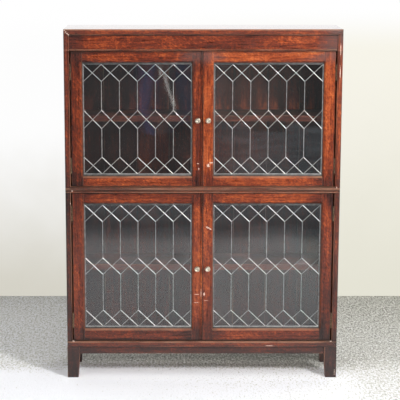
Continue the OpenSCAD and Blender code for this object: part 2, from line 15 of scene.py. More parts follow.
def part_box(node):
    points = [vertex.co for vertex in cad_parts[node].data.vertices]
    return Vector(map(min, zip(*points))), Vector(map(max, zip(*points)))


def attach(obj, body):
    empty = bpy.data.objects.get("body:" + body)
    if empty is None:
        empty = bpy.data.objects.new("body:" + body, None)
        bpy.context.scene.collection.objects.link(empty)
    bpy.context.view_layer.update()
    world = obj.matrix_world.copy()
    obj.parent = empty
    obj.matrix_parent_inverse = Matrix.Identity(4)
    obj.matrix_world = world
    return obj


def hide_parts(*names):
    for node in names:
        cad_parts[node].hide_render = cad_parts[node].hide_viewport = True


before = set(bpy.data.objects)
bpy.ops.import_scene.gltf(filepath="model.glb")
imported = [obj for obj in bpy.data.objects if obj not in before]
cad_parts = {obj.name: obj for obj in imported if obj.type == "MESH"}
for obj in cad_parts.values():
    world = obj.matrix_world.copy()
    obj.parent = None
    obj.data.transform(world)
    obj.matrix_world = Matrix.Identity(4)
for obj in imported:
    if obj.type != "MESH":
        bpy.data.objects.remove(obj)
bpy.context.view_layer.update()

MM = 0.001
case_low, case_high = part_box("upper_edge_moulding")
front_y = case_low.y                       # the face of the edge moulding
back_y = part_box("upper_back")[1].y
top_z = case_high.z
half_width = case_high.x
width, depth = half_width * 2, back_y - front_y
print("case", round(width, 4), "wide,", round(depth, 4), "deep,", round(top_z, 4), "high")

# %% [markdown]
# ## The camera
# A studio sees a bookcase from a few metres away with a long lens, so that upright edges stay
# nearly parallel. The camera stands a little left of the middle, above the top, and looks down.
# The horizontal shift slides the view without turning the camera, as on a view camera.

# %% Camera
CAMERA_FROM_FRONT = 4.601
CAMERA_LEFT = 0.1066
CAMERA_HEIGHT = 1.4806
LOOK_DOWN = math.radians(10.84)
LENS = 130.1                 # millimetres, on a 36 mm sensor
VIEW_SHIFT = 0.0756

bpy.ops.object.camera_add(
    location=(-CAMERA_LEFT, front_y - CAMERA_FROM_FRONT, CAMERA_HEIGHT),
    rotation=(math.radians(90) - LOOK_DOWN, 0, 0),
)
camera = bpy.context.object
camera.data.sensor_width = 36
camera.data.lens = LENS
camera.data.shift_x = VIEW_SHIFT
camera.data.clip_end = 50
bpy.context.scene.camera = camera
bpy.context.scene.view_settings.view_transform = "Standard"
print("camera at", [round(v, 3) for v in camera.location])

# %% [markdown]
# ## Small tools
# Most steps act on what is selected, and loading leaves every part selected. So each step starts
# by picking just the piece that it works on.

# %% Picking, and shader nodes
def deselect():
    """Leaves nothing selected, in object mode."""
    if bpy.context.mode != "OBJECT":
        bpy.ops.object.mode_set(mode="OBJECT")
    bpy.ops.object.select_all(action="DESELECT")


def edit():
    """Enters edit mode with everything selected."""
    bpy.ops.object.mode_set(mode="EDIT")
    bpy.ops.mesh.select_all(action="SELECT")


def pick(piece):
    """Selects one piece alone and makes it the active one."""
    deselect()
    piece.select_set(True)
    bpy.context.view_layer.objects.active = piece
    return piece


def fill(node, ins):
    """Sets a node's inputs, each to a plain value or to another node's output."""
    for key, value in ins.items():
        if isinstance(value, bpy.types.NodeSocket):
            node.id_data.links.new(value, node.inputs[key])
        else:
            node.inputs[key].default_value = value
    return node


def add(tree, kind, ins=None, **settings):
    """Adds a shader node."""
    node = tree.nodes.new("ShaderNode" + kind)
    for key, value in settings.items():
        setattr(node, key, value)
    return fill(node, ins or {})


def calc(tree, operation, a, b=0.0):
    """One step of arithmetic on two numbers."""
    return add(tree, "Math", {0: a, 1: b}, operation=operation).outputs[0]


def plus(tree, a, b):
    return calc(tree, "ADD", a, b)


def minus(tree, a, b):
    return calc(tree, "SUBTRACT", a, b)


def times(tree, a, b):
    return calc(tree, "MULTIPLY", a, b)


def vector(tree, operation, a, b=(0.0, 0.0, 0.0)):
    """One step of arithmetic on two vectors."""
    return add(tree, "VectorMath", {0: a, 1: b}, operation=operation).outputs[0]


def split(tree, whole):
    """A vector's X, Y and Z."""
    return add(tree, "SeparateXYZ", {0: whole}).outputs


def seen_through(tree, rays):
    """1 for a ray that has only passed through glass on its way from the camera."""
    bounces = plus(tree, rays.outputs["Diffuse Depth"], rays.outputs["Glossy Depth"])
    return times(tree, rays.outputs["Is Transmission Ray"], calc(tree, "LESS_THAN", bounces, 0.5))


def looked_at(tree, rays):
    """1 for a ray from the camera, from a glossy surface, or through glass."""
    seen = calc(tree, "MAXIMUM", rays.outputs["Is Camera Ray"], rays.outputs["Is Glossy Ray"])
    return calc(tree, "MAXIMUM", seen, seen_through(tree, rays))


def fade(tree, value, start, end, from_value=0.0, to_value=1.0):
    """Turns a number smoothly from one value to another between start and end."""
    ins = {"Value": value, "From Min": start, "From Max": end, "To Min": from_value, "To Max": to_value}
    return add(tree, "MapRange", ins, interpolation_type="SMOOTHSTEP").outputs[0]


def noise(tree, place, scale, detail, roughness=0.5):
    ins = {"Vector": place, "Scale": scale, "Detail": detail, "Roughness": roughness}
    return add(tree, "TexNoise", ins).outputs["Fac"]


def stretched_noise(tree, place, scale, detail, roughness):
    """Noise with its own size along, across and through the board, in repeats per metre."""
    return noise(tree, vector(tree, "MULTIPLY", place, scale), 1.0, detail, roughness)


def bumps(tree, height, strength, distance):
    """The normal of a surface with small bumps."""
    ins = {"Height": height, "Strength": strength, "Distance": distance}
    return add(tree, "Bump", ins).outputs["Normal"]


def colour_ramp(tree, value, stops, interpolation="LINEAR"):
    """Turns a number into a colour. Each stop is a place from 0 to 1 and its colour."""
    ramp = add(tree, "ValToRGB", {0: value})
    ramp.color_ramp.interpolation = interpolation
    steps = ramp.color_ramp.elements
    while len(steps) < len(stops):
        steps.new(0.5)
    for step, (at, colour) in zip(steps, stops):
        step.position = at
    for step, (at, colour) in zip(steps, stops):
        step.color = (*colour, 1)
    return ramp.outputs["Color"]


def blend(tree, amount, a, b):
    """Mixes two colours by amount."""
    node = add(tree, "Mix", {0: amount, 6: a, 7: b}, data_type="RGBA")
    return node.outputs[2]


def new_material(name):
    """A new material, its tree, its main shader and the point that is shaded."""
    material = bpy.data.materials.new(name)
    material.use_nodes = True
    tree = material.node_tree
    return material, tree, tree.nodes["Principled BSDF"], add(tree, "TexCoord").outputs["Object"]


def mix_shaders(tree, amount, a, b):
    """Mixes two shader nodes by amount."""
    return add(tree, "MixShader", {0: amount, 1: a.outputs[0], 2: b.outputs[0]})


def cover(tree, surface):
    """Makes a node the material's surface."""
    fill(tree.nodes["Material Output"], {"Surface": surface.outputs[0]})


def copy_of(mesh, name):
    """A new object with its own copy of a mesh."""
    piece = bpy.data.objects.new(name, mesh.copy())
    bpy.context.scene.collection.objects.link(piece)
    return piece


def apply(piece, kind, **settings):
    """Adds a modifier to the picked piece and applies it."""
    modifier = piece.modifiers.new(kind.lower(), kind)
    for key, value in settings.items():
        setattr(modifier, key, value)
    bpy.ops.object.modifier_apply(modifier=modifier.name)


# %% [markdown]
# ## Floor, wall and light
# The floor is a pale cord carpet that gets lighter towards the camera, a painted pool of light,
# and the wall stands a metre behind. The carpet also carries a painted shadow of the bookcase and
# a glow for the camera. The wall shows only from its front, so that it never hides the bookcase's
# back. In front, dim cards stand in for an unlit room: they glow, though they are no lamps, and
# only glossy rays see them, so that they show in the glass as a painted reflection and keep a
# grey haze off the wax.

# %% Floor
FLOOR_AHEAD = 2.4
ROOM_DIM = 0.46             # how light the dim floor beyond the carpet looks in the glass
WALL_BEHIND = 1.067
CARPET_STOPS = [(0.30, (0.20, 0.197, 0.176)), (0.80, (0.657, 0.650, 0.600)), (1.0, (0.84, 0.84, 0.86))]
COOL_LIGHT = (0.90, 1.0, 1.08, 1)
STAGE_HALF = 3.2


def stage_plane(name, low, high, upright=False):
    """A flat sheet between two corners: on the floor, or upright across the view."""
    deselect()
    size = high - low
    middle = (low + high) / 2
    bpy.ops.mesh.primitive_grid_add(x_subdivisions=4, y_subdivisions=4, size=1, location=(0, 0, 0))
    sheet = bpy.context.object
    sheet.name = name
    turn = Matrix.Rotation(math.radians(90), 4, "X") if upright else Matrix.Identity(4)
    depth = size.z if upright else size.y
    sheet.data.transform(Matrix.Translation(middle) @ turn @ Matrix.Diagonal((size.x, depth, 1, 1)))
    return sheet


floor = stage_plane("floor", Vector((-STAGE_HALF, front_y - FLOOR_AHEAD, 0)),
                    Vector((STAGE_HALF, front_y + WALL_BEHIND, 0)))
material, tree, shader, position = new_material("pale_carpet")
parts = split(tree, position)
rays = add(tree, "LightPath")
# the bookcase's painted shadow, which ends further forward under the case than beside it
to_the_right = fade(tree, parts["X"], 0.40, 0.62)
beneath = fade(tree, calc(tree, "ABSOLUTE", parts["X"]), 0.475, 0.425)
start = plus(tree, times(tree, to_the_right, 0.09), front_y + 0.155)
end = plus(tree, times(tree, beneath, 0.06), front_y + 0.01)
behind_start = minus(tree, start, parts["Y"])
painted_light_pool = fade(tree, calc(tree, "DIVIDE", behind_start, minus(tree, start, end)), 0.0, 1.0)
painted_light_pool = times(tree, painted_light_pool, 0.85)
painted_light_pool = plus(tree, painted_light_pool, fade(tree, parts["Y"], front_y + 0.05, front_y - 0.20, 0.0, 0.15))
# the cords, and how light the carpet is, with the painted pool of light and painted shadow
tufts = stretched_noise(tree, position, (150.0, 60.0, 60.0), 3.0, 0.75)
loops = stretched_noise(tree, position, (38.0, 14.0, 14.0), 2.0, 0.6)
crisp = minus(tree, 1.0, times(tree, rays.outputs["Is Glossy Ray"], 0.9))
shade = times(tree, painted_light_pool, fade(tree, to_the_right, 0.0, 1.0, 0.45, 0.20))
# painted shade: at the right, the carpet darkens towards the wall
painted_falloff_from_wall = fade(tree, parts["Y"], front_y + 1.0, front_y + 0.4, -0.04, 0.04)
shade = plus(tree, shade, times(tree, painted_falloff_from_wall, to_the_right))
# painted shadow on the carpet under and behind the case
shaded = fade(tree, parts["Y"], front_y + 0.16, front_y + 0.23, 0.0, 0.28)
shaded = times(tree, shaded, fade(tree, parts["Y"], front_y + 0.62, front_y + 0.35))
shade = minus(tree, shade, times(tree, shaded, beneath))
for grain, strength in ((tufts, 2.2), (loops, 0.25)):
    swing = times(tree, minus(tree, grain, 0.5), strength)
    shade = plus(tree, shade, times(tree, swing, crisp))
# painted light: the carpet is lighter to the left, where the case's shadow falls
shade = plus(tree, shade, fade(tree, parts["X"], 0.45, -0.50, 0.62, 0.85))
carpet = colour_ramp(tree, shade, CARPET_STOPS)
# painted light: a glow stands in for daylight that the few lamps leave out
painted_glow = plus(tree, times(tree, painted_light_pool, 0.09), 0.03)
# painted shade: less glow to the right
painted_glow = minus(tree, painted_glow, fade(tree, parts["X"], 0.35, 0.80, 0.0, 0.08))
# painted light on the carpet just under the case's front edge
painted_light_under_edge = times(tree, fade(tree, parts["Y"], front_y + 0.17, front_y + 0.06),
                   fade(tree, parts["Y"], front_y - 0.08, front_y + 0.03, 0.0, 0.13))
painted_glow = plus(tree, painted_glow, times(tree, painted_light_under_edge, beneath))
fill(shader, {"Base Color": carpet, "Roughness": 0.95, "Specular IOR Level": 0.1,
              "Emission Color": carpet, "Emission Strength": times(tree, looked_at(tree, rays), painted_glow),
              "Normal": bumps(tree, tufts, 0.6, 0.004)})
# painted reflection: far ahead, the carpet seen in mirrors turns into the room's dim glow
dim = add(tree, "Emission", {"Color": COOL_LIGHT, "Strength": ROOM_DIM})
far_away = fade(tree, parts["Y"], front_y - 1.95, front_y - 2.35)
far_away = times(tree, far_away, rays.outputs["Is Glossy Ray"])
seen = mix_shaders(tree, far_away, shader, dim)
cover(tree, seen)
floor.data.materials.append(material)
print("floor from", round(front_y - FLOOR_AHEAD, 2), "to", round(front_y + WALL_BEHIND, 2))

# %% Wall
wall = stage_plane("wall", Vector((-STAGE_HALF, front_y + WALL_BEHIND, 0)),
                   Vector((STAGE_HALF, front_y + WALL_BEHIND, 2.6)), upright=True)
material, tree, shader, position = new_material("cream_wall")
parts = split(tree, position)
brushed = stretched_noise(tree, position, (3.0, 3.0, 3.0), 3.0, 0.6)
height = plus(tree, parts["Z"], times(tree, brushed, 0.25))
# painted shade: the wall is darker low down and to the left
left_painted_light = colour_ramp(tree, fade(tree, height, 0.1, 0.85),
                         [(0, (0.66, 0.64, 0.565)), (1, (0.985, 0.985, 0.985))])
right_painted_light = colour_ramp(tree, fade(tree, height, 0.1, 1.15),
                          [(0, (0.78, 0.765, 0.66)), (1, (0.93, 0.91, 0.82))])
side = fade(tree, parts["X"], -0.35, 0.45)
wall_colour_and_painted_light = blend(tree, side, left_painted_light, right_painted_light)
# painted light: the wall turns white from about a metre up, where the waxed top mirrors it
painted_white_band = fade(tree, parts["Z"], 0.98, 1.16)
wall_colour_and_painted_light = blend(tree, painted_white_band, wall_colour_and_painted_light, (1.0, 1.0, 1.0, 1))
# the wall shows its colour as a glow to the camera, in mirrors and through glass
glow = add(tree, "Emission", {"Color": wall_colour_and_painted_light, "Strength": 1.0})
fill(shader, {"Base Color": wall_colour_and_painted_light, "Roughness": 0.9})
seen = mix_shaders(tree, looked_at(tree, add(tree, "LightPath")), shader, glow)
clear = add(tree, "BsdfTransparent")
behind = add(tree, "NewGeometry").outputs["Backfacing"]
one_sided = mix_shaders(tree, behind, seen, clear)
cover(tree, one_sided)
wall.data.materials.append(material)
print("wall at", round(front_y + WALL_BEHIND, 2))

# %% Dim cards for the glass to mirror
ROOM_FAR = 6.0
ROOM_HALF = 8.0
# painted reflections of pale and blue upright things across the room: place from left to right
# in metres, and colour
GREY, PALE, BLUE = (0.13, 0.19, 0.21), (0.45, 0.5, 0.52), (0.20, 0.46, 1.10)
ROOM_BANDS = [
    (-0.80, GREY), (-0.50, (0.24, 0.24, 0.25)), (-0.325, GREY), (-0.295, BLUE), (-0.25, BLUE),
    (-0.215, GREY), (-0.12, PALE), (-0.07, GREY), (0.00, (0.22, 0.36, 0.72)),
    (0.10, (0.22, 0.22, 0.23)), (0.20, (0.8, 0.8, 0.82)), (0.30, (0.40, 0.40, 0.39)),
    (0.55, (0.52, 0.52, 0.50)), (0.90, (0.22, 0.22, 0.22)),
]
BAND_SPAN = 2.0

# painted reflection: these cards glow, though they are no lamps, so that the glass mirrors a room
material, tree, shader, position = new_material("unlit_room")
wobble = stretched_noise(tree, position, (1.5, 1.5, 3.0), 2.0, 0.5)
across = split(tree, position)["X"]
across = plus(tree, across, times(tree, minus(tree, wobble, 0.5), 0.20))
shares = [(at / BAND_SPAN + 0.5, tint) for at, tint in ROOM_BANDS]
stops = [(share * share * (3 - 2 * share), tint) for share, tint in shares]
bands = colour_ramp(tree, fade(tree, across, -BAND_SPAN / 2, BAND_SPAN / 2), stops, "B_SPLINE")
# a painted highlight: the lit edge of a curtain, which swings to the right as it falls
parts = split(tree, position)
drop = parts["Z"]
edge_x = fade(tree, drop, 0.40, 0.12, -0.167, -0.10)
painted_curtain_glint = calc(tree, "ABSOLUTE", minus(tree, parts["X"], edge_x))
painted_curtain_glint = times(tree, fade(tree, painted_curtain_glint, 0.020, 0.005), fade(tree, drop, 0.08, 0.14))
painted_curtain_glint = times(tree, painted_curtain_glint, fade(tree, drop, 0.50, 0.40))
low_down = fade(tree, drop, 1.1, 0.8)
room = blend(tree, low_down, (0.14, 0.15, 0.16, 1), bands)
room = blend(tree, painted_curtain_glint, room, (4.2, 4.0, 3.8, 1))
painted_reflection_glow = add(tree, "Emission", {"Color": room, "Strength": 1.0})
cover(tree, painted_reflection_glow)
room_material = material

# the room's floor as a painted reflection, with painted patches of light
material, tree, shader, position = new_material("unlit_floor")
wobble = stretched_noise(tree, position, (1.2, 1.2, 1.2), 2.0, 0.5)
parts = split(tree, position)
away = minus(tree, front_y, parts["Y"])
away = plus(tree, away, times(tree, minus(tree, wobble, 0.5), 0.3))
painted_light_patch = times(tree, fade(tree, away, 2.45, 2.75), fade(tree, away, 4.0, 3.4))
painted_light_patch = times(tree, painted_light_patch, 0.36)
painted_light_far_right = times(tree, fade(tree, parts["X"], 0.05, 0.40), fade(tree, away, 3.4, 4.0))
uneven = stretched_noise(tree, position, (1.5, 5.0, 5.0), 2.0, 0.6)
painted_light_far_right = times(tree, painted_light_far_right, fade(tree, uneven, 0.35, 0.65, 0.55, 1.45))
level = plus(tree, times(tree, painted_light_far_right, 0.62), plus(tree, painted_light_patch, 0.16))
level = plus(tree, level, fade(tree, away, 3.6, 3.2, 0.0, ROOM_DIM - 0.16))
painted_reflection_glow = add(tree, "Emission", {"Color": COOL_LIGHT, "Strength": level})
cover(tree, painted_reflection_glow)
far_end = front_y - ROOM_FAR
cards = [
    stage_plane("room_floor", Vector((-ROOM_HALF, far_end, -0.002)),
                Vector((ROOM_HALF, front_y - FLOOR_AHEAD, -0.002))),
    stage_plane("room_wall", Vector((-ROOM_HALF, far_end, 0)), Vector((ROOM_HALF, far_end, 5)),
                upright=True),
]
for card, finish in zip(cards, (material, room_material)):
    card.data.materials.append(finish)
    for ray in ("camera", "diffuse", "shadow", "transmission"):
        setattr(card, "visible_" + ray, False)

# %% Lamps and sky
def soft_lamp(name, place, aim, size, power):
    """A square area lamp that points at aim."""
    bpy.ops.object.light_add(type="AREA", location=place)
    lamp = bpy.context.object
    lamp.name = name
    lamp.data.shape = "SQUARE"
    lamp.data.size = size
    lamp.data.energy = power
    lamp.rotation_euler = (Vector(aim) - Vector(place)).to_track_quat("-Z", "Y").to_euler()
    return lamp


aim = (0, 0, 0.55)
soft_lamp("window_right", (1.95, front_y - 2.55, 2.1), aim, 0.5, 108)
ceiling = soft_lamp("ceiling", (0.2, -1.4, 3.4), aim, 2.2, 40)
ceiling.visible_glossy = False
left_lamp = soft_lamp("fill_left", (-3.0, -3.0, 1.8), aim, 2.4, 20)
left_lamp.visible_glossy = False

SKY = (0.95, 0.97, 1.0, 1)
world = bpy.data.worlds.new("studio")
bpy.context.scene.world = world
world.use_nodes = True
tree = world.node_tree
sky = fill(tree.nodes["Background"], {"Color": SKY, "Strength": 0.37})
backdrop = add(tree, "Background", {"Color": (1.0, 1.0, 1.0, 1), "Strength": 1.0})
dusk = add(tree, "Background", {"Color": SKY, "Strength": 0.2})
rays = add(tree, "LightPath")
mirrored = mix_shaders(tree, rays.outputs["Is Glossy Ray"], sky, dusk)
open_view = calc(tree, "MAXIMUM", rays.outputs["Is Camera Ray"], seen_through(tree, rays))
mix = mix_shaders(tree, open_view, mirrored, backdrop)
fill(tree.nodes["World Output"], {"Surface": mix.outputs[0]})

# %% [markdown]
# ## Boards from the joiner's model
# A board is copied from the model, its loose triangles are joined, and flat faces become whole
# again. A small bevel then rounds the arrises, as years of dusting do, and makes the fine dark
# line where two boards meet. Each vertex also stores where it lies in its own board, so that the
# grain always runs along the wood and the stain can gather at the ends.

# %% Merged copies with rounded arrises
def merged_copy(node, name):
    """A copy of a model part whose loose triangles are joined into whole faces."""
    piece = copy_of(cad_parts[node].data, name)
    piece.data.materials.clear()
    pick(piece)
    bpy.ops.mesh.customdata_custom_splitnormals_clear()
    edit()
    bpy.ops.mesh.remove_doubles(threshold=0.00001)
    bpy.ops.mesh.dissolve_limited(angle_limit=math.radians(0.5))
    bpy.ops.object.mode_set(mode="OBJECT")
    return piece


def round_arrises(piece, width, segments=2):
    """Bevels every sharp edge by width, in metres."""
    pick(piece)
    apply(piece, "BEVEL", width=width, segments=segments, limit_method="ANGLE",
          angle_limit=math.radians(40))
    bpy.ops.object.shade_smooth_by_angle(angle=math.radians(35))
    apply(piece, "WEIGHTED_NORMAL", weight=100, keep_sharp=True)


def separate_boards(mesh):
    """The vertices of each connected board, as lists of indices."""
    owner = list(range(len(mesh.vertices)))

    def head(i):
        while owner[i] != i:
            owner[i] = owner[owner[i]]
            i = owner[i]
        return i

    for edge in mesh.edges:
        a, b = (head(i) for i in edge.vertices)
        owner[a] = b
    boards = {}
    for i in range(len(owner)):
        boards.setdefault(head(i), []).append(i)
    return sorted(boards.values(), key=lambda board: board[0])


def lay_grain(piece, tones, spread=0.04):
    """Stores each vertex's place along, across and through its board, the board's half size, a
    number of its own for the figure, and its tones. A tone is a number, or three numbers for the
    low or left end, the middle and the other end. A list has a tone for each board, from the
    lowest up and then from left to right."""
    mesh = piece.data
    luck = random.Random(piece.name)
    names = ("place", "half", "tone", "board")
    for name in names:
        mesh.attributes.new(name, "FLOAT" if name == "board" else "FLOAT_VECTOR", "POINT")
    place, half, tone, board_number = (mesh.attributes[name] for name in names)
    boards = []
    for board in separate_boards(mesh):
        points = [mesh.vertices[i].co for i in board]
        low = [min(p[k] for p in points) for k in range(3)]
        high = [max(p[k] for p in points) for k in range(3)]
        boards.append(((round(low[2] + high[2], 2), low[0] + high[0]), board, low, high))
    boards.sort(key=lambda item: item[0])
    for n, (_, board, low, high) in enumerate(boards):
        order = sorted(range(3), key=lambda k: low[k] - high[k])
        half_size = [(high[k] - low[k]) / 2 for k in order]
        middle = [(high[k] + low[k]) / 2 for k in order]
        own = tones[n % len(tones)] if isinstance(tones, list) else tones
        own = own if isinstance(own, tuple) else (own, own, own)
        shift = luck.uniform(-spread, spread)
        number = luck.random()
        for i in board:
            co = mesh.vertices[i].co
            place.data[i].vector = [co[k] - m for k, m in zip(order, middle)]
            half.data[i].vector = half_size
            tone.data[i].vector = [value + shift for value in own]
            board_number.data[i].value = number


# %% [markdown]
# ## The oak
# Quarter-sawn oak shows long streaks, short pale flecks across them and fine open pores. Stain
# and wax have gone nearly black towards the ends of each board and along its edges, while the
# middle has worn to orange. One number, the warmth, adds all that up, and a colour ramp turns it
# into the range from black-brown to orange. The arrises that hands and dusters reach have worn
# back to pale wood, and a few knocks and scratches show it too.

# %% Oak finish
OAK_RAMP = [
    (0.00, (0.012, 0.0055, 0.0045)),
    (0.22, (0.050, 0.0125, 0.0080)),
    (0.45, (0.150, 0.0245, 0.0085)),
    (0.70, (0.370, 0.0720, 0.0160)),
    (1.00, (0.700, 0.2200, 0.0600)),
]
WORN_WOOD = (0.46, 0.24, 0.15, 1)
KNOCKED_WOOD = (0.78, 0.60, 0.50, 1)
PAINTED_GAP_LIGHT = (0.34, 0.10, 0.04, 1)
BLOOM_AND_REFLECTION = (0.22, 0.19, 0.18, 1)
SHADE_AND_DIRT_COLOUR = (0.020, 0.008, 0.005, 1)

# knocks on the front: middle x and z, half width and half height, all in mm
KNOCKS = [
    (17, 712, 5, 6), (27, 721, 8, 1.6), (-16, 718, 4, 1.5), (-13, 701, 2, 4),
    (-19, 283, 9, 0.9), (-19, 255, 9, 0.9), (-4, 286, 1.2, 13), (6, 284, 3, 5.5), (12, 262, 8, 0.85),
    (15, 509, 3.4, 1.9), (20, 506, 4, 1.9), (26, 502, 3.4, 1.9), (222, 109, 18, 1.0),
    (-442, 1147, 2.5, 2.5), (-437, 1142, 2.5, 2.5), (-432, 1137, 2.5, 2.5), (-428, 1133, 2.5, 2.5),
    (-423, 629, 2.4, 2.4), (-428, 588, 2, 2), (433, 641, 2.4, 3.2), (-424, 124, 4, 2.8),
    # the two tall marks at x 437, on the upper case's right edge, are partly wear and partly a painted
    # highlight where that edge faces the lamp
    (424, 124, 2.8, 2.2), (437, 1084, 1.4, 18), (437, 1012, 1.3, 24), (439, 18, 0.9, 11), (405, 14, 1.1, 8),
]

# dark level lines along the front, painted shade with some dirt in the quirks and beside the doors:
# middle height, half height and strength, the first two in mm
QUIRK_SHADE_AND_DIRT = [(1132.5, 3.2, 0.35), (1077.5, 3.2, 0.45), (642, 2.4, 0.2), (630.7, 2.4, 0.75), (620.6, 1.4, 0.35),
          (127, 1.9, 1.0)]
# pale lines on the bead crests, partly worn wood and partly painted highlight, in the same columns
BEAD_WEAR_AND_HIGHLIGHTS = [(1149, 2.0, 0.15), (1084.6, 1.8, 0.5), (635.9, 2.6, 0.75), (624.4, 1.4, 0.6), (121.8, 2.8, 1.0)]


def on_lines(tree, position, lines):
    """How much a point on the front lies on one of the level lines."""
    parts = split(tree, position)
    level = None
    for height, half_height, strength in lines:
        away = calc(tree, "ABSOLUTE", minus(tree, parts["Z"], height * MM))
        line = fade(tree, away, (half_height + 0.7) * MM, (half_height - 0.7) * MM, 0.0, strength)
        level = line if level is None else calc(tree, "MAXIMUM", level, line)
    return times(tree, level, fade(tree, parts["Y"], front_y + 0.0118, front_y + 0.0108))


def worn_places(tree, position, raggedness):
    """How worn a point is by the listed knocks, with ragged outlines."""
    level = vector(tree, "MULTIPLY", position, (1.0, 0.0, 1.0))
    worn = None
    for x, z, half_x, half_z in KNOCKS:
        away = vector(tree, "SUBTRACT", level, (x * MM, 0, z * MM))
        size = (1 / (half_x * MM), 0, 1 / (half_z * MM))
        away = vector(tree, "MULTIPLY", away, size)
        reach = add(tree, "VectorMath", {0: away}, operation="LENGTH").outputs["Value"]
        worn = reach if worn is None else calc(tree, "MINIMUM", worn, reach)
    worn = plus(tree, worn, times(tree, minus(tree, raggedness, 0.5), 2.4))
    return fade(tree, worn, 1.1, 0.5)


def oak(name, end_stain, contrast, roughness, coat=0.05, front=False, wear=0.3, dust_and_painted_top_light=0.0, bloom=0.0,
        dust_and_painted_top_colour=(0.52, 0.26, 0.15), relief=0.6, lighter_band_above=()):
    """Stained oak. end_stain is how far the ends darken, contrast is the strength of the figure,
    wear is how pale the arrises are, dusted is how far the faces that look up take the colour
    given as dust, which stands partly for settled dirt and partly for painted light, bloom is how
    cloudy the wax is, relief is how open the pores are, front adds the knocks, the moulding's pale
    lines of wear and painted highlight, its dark lines of painted shade and dirt, and a painted
    reflection of the floor low down, and lighter_band_above lists heights just above which the wood is
    made lighter, more so to the right."""
    material, tree, shader, position = new_material(name)
    place = add(tree, "Attribute", attribute_name="place").outputs["Vector"]
    half = add(tree, "Attribute", attribute_name="half").outputs["Vector"]
    number = add(tree, "Attribute", attribute_name="board").outputs["Fac"]
    tones = split(tree, add(tree, "Attribute", attribute_name="tone").outputs["Vector"])
    along = split(tree, place)["X"]
    along = calc(tree, "DIVIDE", along, split(tree, half)["X"])
    tone = tones["Y"]
    for end_tone, way in (("Z", 1.0), ("X", -1.0)):
        reach = calc(tree, "MAXIMUM", times(tree, along, way), 0.0)
        step = minus(tree, tones[end_tone], tones["Y"])
        tone = plus(tree, tone, times(tree, reach, step))
    own = add(tree, "VectorMath", {0: (31.0, 17.0, 23.0), "Scale": number}, operation="SCALE").outputs[0]
    spot = vector(tree, "ADD", place, own)

    streaks = stretched_noise(tree, spot, (16.0, 200.0, 120.0), 3.0, 0.6)
    bands = stretched_noise(tree, spot, (5.0, 36.0, 36.0), 3.0, 0.6)
    mottle = stretched_noise(tree, spot, (75.0, 150.0, 150.0), 3.0, 0.65)
    flecks = stretched_noise(tree, spot, (85.0, 34.0, 34.0), 2.0, 0.5)
    pores = stretched_noise(tree, spot, (60.0, 1300.0, 1300.0), 2.0, 0.5)
    grit = stretched_noise(tree, spot, (190.0, 360.0, 360.0), 2.0, 0.6)
    fleck = fade(tree, flecks, 0.56, 0.70)
    slanted = add(tree, "VectorRotate", {"Vector": spot, "Angle": math.radians(40)}, rotation_type="Z_AXIS")
    rays = fade(tree, stretched_noise(tree, slanted.outputs[0], (40.0, 270.0, 60.0), 2.0, 0.5), 0.47, 0.66)
    rays = times(tree, rays, fade(tree, bands, 0.44, 0.58))
    pore = fade(tree, pores, 0.58, 0.70)

    inward = vector(tree, "ABSOLUTE", place)
    inward = vector(tree, "SUBTRACT", half, inward)
    inward = split(tree, inward)
    drift = times(tree, minus(tree, bands, 0.5), 0.12)
    from_end = plus(tree, inward["X"], drift)
    end = fade(tree, from_end, 0.0, 0.085, 1.0, 0.0)
    drift = times(tree, minus(tree, mottle, 0.5), 0.010)
    from_edge = plus(tree, inward["Y"], drift)
    edge = fade(tree, from_edge, 0.0, 0.0045, 1.0, 0.0)

    warmth = tone
    for figure, strength in ((streaks, 0.60), (bands, 0.50), (mottle, 0.45), (grit, 0.60)):
        swing = times(tree, minus(tree, figure, 0.5), strength * contrast)
        warmth = plus(tree, warmth, swing)
    warmth = plus(tree, warmth, times(tree, fleck, 0.11 * contrast))
    warmth = plus(tree, warmth, times(tree, minus(tree, rays, 0.12), 0.13 * contrast))
    for stain, strength in ((end, end_stain), (edge, 0.15), (pore, 0.08)):
        warmth = minus(tree, warmth, times(tree, stain, strength))
    parts = split(tree, position)
    height = parts["Z"]
    normal = split(tree, add(tree, "TexCoord").outputs["Normal"])
    patches = stretched_noise(tree, position, (9.0, 9.0, 6.0), 2.0, 0.5)
    # the front faces of the boards are made lighter just above each listed height, more so to the right
    for level in lighter_band_above:
        ragged = plus(tree, minus(tree, height, level), times(tree, patches, 0.03))
        lighter_band = times(tree, fade(tree, ragged, 0.085, 0.010), fade(tree, height, level - 0.02, level))
        lighter_band = times(tree, lighter_band, fade(tree, normal["Y"], -0.3, -0.7))
        lighter_band = times(tree, lighter_band, fade(tree, bands, 0.42, 0.58))
        lighter_band = times(tree, lighter_band, fade(tree, parts["X"], -0.1, 0.15, 0.15, 0.27))
        warmth = plus(tree, warmth, lighter_band)

    colour = colour_ramp(tree, warmth, OAK_RAMP)
    corner = calc(tree, "MAXIMUM", inward["Y"], inward["Z"])
    rubbed = times(tree, fade(tree, corner, 0.0026, 0.0008), fade(tree, bands, 0.40, 0.62))
    colour = blend(tree, times(tree, rubbed, wear), colour, WORN_WOOD)
    # faces that look up take the colour dust, which stands partly for settled dirt and partly for painted
    # light: paler on the front, near black on the inside boards as a painted shade
    facing_up = fade(tree, normal["Z"], 0.30, 0.70)
    facing_up = times(tree, facing_up, fade(tree, patches, 0.30, 0.62, 0.45, 1.0))
    colour = blend(tree, times(tree, facing_up, dust_and_painted_top_light), colour, (*dust_and_painted_top_colour, 1))
